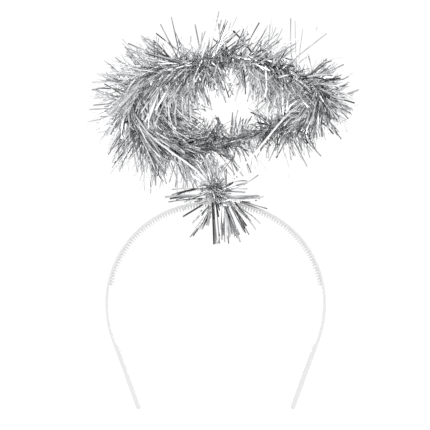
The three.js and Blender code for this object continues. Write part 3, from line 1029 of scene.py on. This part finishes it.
def locks_of_strips(locks, chance, crowd):
    """Where strips stand and point, some in each lock, as crowded as the table says."""
    tries = int(locks * MOST_CROWDED)
    place = chance.random(tries) * len(ring)
    turn = chance.random(tries) * 2 * math.pi
    chosen = chance.random(tries) * MOST_CROWDED < crowd(ring_at(place)[3], turn)
    place, turn = place[chosen], turn[chosen]
    core, along, out, up, angle = core_at(place)
    radial = out * np.cos(turn)[:, None] + up * np.sin(turn)[:, None]
    lean = fall_at(angle, "lean") + chance.normal(0, LEAN_SPREAD, len(place))
    way = unit(radial + lean[:, None] * along)
    way[:, 2] -= fall_at(angle, "sag")
    reach = fall_towards(angle, turn, "reach") / 1000
    lock = {
        "place": place,
        "reach": reach,
        "tip": core + unit(way) * reach[:, None],
        "tone": fall_towards(angle, turn, "tone"),
        "wave": fall_at(angle, "wave"),
    }
    strips = np.repeat(np.arange(len(place)), chance.integers(1, 2 * STRIPS_IN_LOCK, len(place)))
    return {name: values[strips] for name, values in lock.items()}


def garland_strips(locks, chance, crowd, reach_share, behind, tone_share):
    """Strips of the garland, which start a share of their length behind the threads."""
    lock = locks_of_strips(locks, chance, crowd)
    count = len(lock["place"])
    core = core_at(lock["place"] + chance.normal(0, ROOT_SPREAD, count))[0]
    core = core + chance.normal(0, CORE_SPREAD, (count, 3))
    tip = lock["tip"] + chance.normal(0, TIP_SPREAD, (count, 3)) * lock["reach"][:, None]
    low, high = reach_share
    length = lock["reach"] * (low + (high - low) * chance.random(count) ** 0.8)
    way = unit(tip - core)
    root = core - way * (length * behind)[:, None]
    width = STRIP_WIDTH * (0.64 + 0.48 * chance.random(count))
    strips = strips_from(root, way, length * (1 + behind), width, chance, WAVE * lock["wave"])
    strips["bend"][:, 2] -= DROOP
    strips["tone"] = chance.normal(lock["tone"] * tone_share, TONE_SPREAD)
    return strips


def drawn_strips(row, chance):
    """Strips from a root to a tip with a bow to their left, where every second one is at the back."""
    count = row["count"]
    root = row["root"] + chance.normal(0, DRAWN_ROOT_SHARE * row["scatter"], (count, 3))
    tip = row["tip"] + chance.normal(0, row["scatter"], (count, 3))
    side = np.where(np.arange(count) % 2 == 0, 1, -1)[:, None]
    root[:, 1:2] *= side
    tip[:, 1:2] *= side
    length = np.linalg.norm(tip - root, axis=1)
    way = unit(tip - root)
    bow = 4 * row["bow"] / length[:, None] * unit(np.cross(way, (0, 1, 0)))
    width = STRIP_WIDTH * row["width"] * (0.9 + 0.2 * chance.random(count))
    strips = strips_from(root / 1000, way + bow, length / 1000, width, chance)
    shorter = 1 - DRAWN_SHORTER * chance.random(count)
    strips["length"] *= np.where(np.arange(count) > 0, shorter, 1)
    strips["bend"] = -bow + DRAWN_BEND_SHARE * strips["bend"]
    strips["kink"] *= DRAWN_KINK_SHARE
    facing = chance.normal(0, DRAWN_FACING_SPREAD, (count, 3))
    strips["side"] = unit(facing + (0, -1, 0))
    strips["spin"] *= DRAWN_SPIN_SHARE
    strips["tone"] = chance.normal(row["tone"], DRAWN_TONE_SHARE * abs(row["tone"]), count)
    return strips


def joined(groups):
    return {name: np.concatenate([group[name] for group in groups]) for name in groups[0]}


def ring_garland():
    chance = np.random.default_rng(GARLAND_SEED)
    by_table = lambda angle, turn: fall_towards(angle, turn, "crowd")
    by_fluff = lambda angle, turn: fall_at(angle, "fluff")
    # The last number of each group scales its strips' tone: the short strips, close round the
    # threads, are a little darker as painted shade of the garland's crowded core.
    groups = [
        ("garland_long_strips", LONG_LOCKS, LONG_STEPS, by_table, (0.7, 1.0), 0.02, 1.0),
        ("garland_short_strips", SHORT_LOCKS, SHORT_STEPS, by_fluff, (0.2, 0.45), 0.4, 0.95),
    ]
    for name, locks, steps, crowd, reach_share, behind, tone_share in groups:
        strips = garland_strips(locks, chance, crowd, reach_share, behind, tone_share)
        strips = kept(strips, ~hides_wire(strip_paths(strips, HIDING_STEPS)))
        piece = lay_strips(name, strips, steps)
        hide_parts("ring_tinsel")
    strays = [dict(zip(STRAY_COLUMNS, row), count=1, scatter=0) for row in STRAY_STRIPS]
    strips = joined([drawn_strips(row, chance) for row in strays])
    piece = lay_strips("garland_stray_strips", strips, LONG_STEPS)
    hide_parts("ring_tinsel")


silver = foil()
wire_marks = seen_wires()
ring_garland()

# Tinsel tuft
# A short length of the same tinsel, wound round the crown of the band over the feet of the wires.
# Its strips stand out straight in sprays, and the lower ones hang before and behind the band.

TUFT_MIDDLE = np.array((-0.0004, 0, 0.0095))
TUFT_CORE_HALF = (0.0048, 0.0042, 0.0068)
TUFT_STEPS = 5
TUFT_FLUFF = 440
TUFT_FLUFF_REACH = 0.0095
FLUFF_CROSSING = 0.8
FLUFF_TONE = 0.56
FLUFF_TONE_SPREAD = 0.14
TUFT_SEED = 20
HEAD_ROOM = 0.0046

# The long strips, where root, tip, scatter and bow are in millimetres. Every second strip of a row
# is behind the band, as far as the others are before it.
# Tones near nought or below make a strip near black, as a painted dark reflection.
TUFT_COLUMNS = ("root", "tip", "count", "scatter", "bow", "width", "tone")
TUFT_STRIPS = [
    ((-5, -2, 11.5), (-27.5, -6, 8), 4, 0.8, -1, 1.0, 0.22),
    ((-10, -2, 11), (-28, -6, 11.5), 2, 0.5, -0.8, 0.8, 0.38),
    ((-7.5, -2, 7.5), (-32.5, -6, 5.5), 5, 0.9, -0.5, 1.0, 0.34),
    ((-8, -2, 5), (-30, -6, 2), 2, 0.7, -0.5, 0.9, 0.4),
    ((-7, -2, 6.5), (-24, -6, 4.5), 3, 1.6, -0.5, 0.9, 0.4),
    ((-12, -5.5, 5), (-23, -10, -5), 2, 1.0, -1.5, 0.9, 0.44),
    ((-8, -5.5, 1.5), (-20.5, -10, -6.5), 1, 0, 0, 1.3, 0),
    ((-8, -5.5, 1.5), (-14, -10, -10), 3, 0.5, 1.2, 0.9, 0.3),
    ((-4, -5.5, 1), (-9, -10, -7), 3, 0.8, 0, 0.9, 0.34),
    ((-4, -5.5, 0), (-14, -10, -16.5), 2, 0.6, 1, 0.8, 0.36),
    ((-3, -5.5, -1.5), (-15.5, -10, -20), 3, 0.3, 0, 1.0, 0.24),
    ((-3, -5.5, -3), (-9, -10, -14.5), 1, 0, 0, 1.4, 0.02),
    ((-3, -5.5, 0.5), (-5, -10, -12.5), 5, 1.2, 0, 0.9, 0.38),
    ((-2, -5.5, 3.5), (-1, -10, -23.5), 1, 0.15, 0, 1.5, -0.12),
    ((-1.5, -5.5, 3.5), (-0.5, -10, -23.5), 1, 0.15, 0, 1.3, -0.1),
    ((-1.5, -5.5, 2.5), (0, -10, -23.5), 1, 0, 0, 1.2, 0.26),
    ((0, -5.5, 3.5), (1.5, -10, -6.5), 1, 0, 0, 1.3, -0.08),
    ((1, -5.5, 3), (2.5, -10, -2.5), 1, 0, 0, 1.2, -0.05),
    ((0.5, -5.5, 0), (2.5, -10, -23.5), 1, 0, 0, 0.9, 0.22),
    ((4.5, -5.5, 0.5), (4, -10, -22), 5, 0.6, 0, 0.9, 0.3),
    ((5, -5.5, 0), (5.5, -10, -22), 4, 0.4, 0, 0.9, 0.3),
    ((5.5, -5.5, 0), (9, -10, -22.5), 4, 0.4, 0, 1.0, 0.24),
    ((5.5, -5.5, 1), (11, -10, -16.5), 10, 2.2, 0, 0.9, 0.34),
    ((7, -5.5, 0.5), (14, -10, -21), 16, 1.3, 0, 1.1, 0.36),
    ((9.5, -5.5, 1), (20, -10, -17.5), 14, 1.3, 0, 0.9, 0.26),
    ((12, -5.5, 3), (15, -10, -1), 1, 0, 0, 1.2, -0.05),
    ((13, -5.5, 1), (28.5, -10, -10), 1, 0, 0.5, 0.8, 0.38),
    ((13, -5.5, 0), (25.5, -10, -14.5), 1, 0, 0.5, 0.9, 0.3),
    ((12, -5.5, 1.5), (20.5, -10, -6.5), 10, 1.6, 0, 0.9, 0.3),
    ((15.5, -5.5, 3), (30.5, -10, -2.5), 2, 0.25, 0, 1.0, 0.18),
    ((16.5, -5.5, 3.5), (32.5, -10, -1.5), 1, 0, 0, 1.0, 0.16),
    ((11.5, -5.5, 0), (18, -10, -12.5), 5, 0.8, 0, 0.9, 0.28),
    ((7, -2, 6.5), (31.5, -6, 7), 3, 0.4, 0, 1.0, 0.28),
    ((7, -2, 6), (29, -6, 4.5), 5, 0.8, 0, 1.0, 0.24),
    ((7, -2, 5), (24.5, -6, 3.5), 6, 0.9, 0, 1.0, 0.32),
    ((4, -2, 11), (20, -6, 11.5), 1, 0, 0, 0.9, 0.34),
    ((3.5, -2, 10), (19, -6, 8.5), 3, 0.6, 0, 0.9, 0.34),
    ((4.5, -2, 11), (20.5, -6, 14.5), 4, 0.7, 0.5, 0.9, 0.3),
    ((5.5, -2, 9.5), (27, -6, 20), 1, 0, -1.2, 1.0, 0.24),
    ((5.5, -2, 12.5), (20, -6, 16), 1, 0, 1.6, 0.9, 0.26),
    ((6.5, -2, 12.5), (6, -6, 25), 2, 0.8, 0, 0.9, 0.16),
    ((7, -2, 12.5), (11, -6, 15.5), 1, 0, 0, 1.3, -0.02),
    ((0.5, -2, 17.5), (11.5, -6, 32), 1, 0, 0, 1.0, 0.12),
    ((-3, -2, 15.5), (-9.5, -6, 28.5), 10, 3, 0, 0.9, 0.4),
    ((-0.5, -2, 16.5), (-2.5, -6, 31.5), 14, 3, 0, 0.9, 0.4),
    ((1.5, -2, 16.5), (5, -6, 30.5), 8, 3, 0, 0.9, 0.4),
    ((-5, -2, 14.5), (-13, -6, 23.5), 5, 2, 0, 0.9, 0.4),
    ((3, -2, 8.5), (10, -6, 12), 6, 2.2, 0, 0.9, 0.42),
    ((4, -2, 5), (11.5, -6, 3.5), 10, 2, 0, 0.9, 0.36),
    ((1.5, -5.5, 3.5), (8, -10, 3), 10, 1.5, 0, 0.9, 0.42),
    ((-5.5, -2, 10.5), (-11.5, -6, 9.5), 6, 2, 0, 0.9, 0.4),
    ((-5, -2, 5), (-10.5, -6, 4), 8, 2, 0, 0.9, 0.36),
]


def clear_of_head(root, way):
    """Turns strips that hang over the band to pass before or behind it."""
    hangs = way[:, 2] < 0
    front = np.where(way[:, 1] < 0, -1, 1)
    way[:, 1] = np.where(hangs, front * np.clip(np.abs(way[:, 1]), 0.1, 0.45), way[:, 1])
    beside = front * np.maximum(np.abs(root[:, 1]), HEAD_ROOM)
    root[:, 1] = np.where(hangs, beside, root[:, 1])
    return root, unit(way)


def fluff(chance):
    """The short, crossing strips of the tuft's core."""
    count = TUFT_FLUFF
    way = unit(chance.normal(0, 1, (count, 3)))
    root = TUFT_MIDDLE + way * TUFT_CORE_HALF * chance.uniform(-0.6, 0.9, (count, 1))
    way = unit(way + chance.normal(0, FLUFF_CROSSING, (count, 3)))
    root, way = clear_of_head(root, way)
    length = TUFT_FLUFF_REACH * (0.4 + 0.6 * chance.random(count))
    width = STRIP_WIDTH * (0.6 + 0.4 * chance.random(count))
    strips = strips_from(root, way, length, width, chance)
    strips["tone"] = chance.normal(FLUFF_TONE, FLUFF_TONE_SPREAD, count)
    return strips


def tuft():
    chance = np.random.default_rng(TUFT_SEED)
    rows = [dict(zip(TUFT_COLUMNS, row)) for row in TUFT_STRIPS]
    strips = joined([drawn_strips(row, chance) for row in rows] + [fluff(chance)])
    strips = kept(strips, ~hides_wire(strip_paths(strips, HIDING_STEPS)))
    piece = lay_strips("tuft_strips", strips, TUFT_STEPS)
    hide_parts("tinsel_tuft")


tuft()
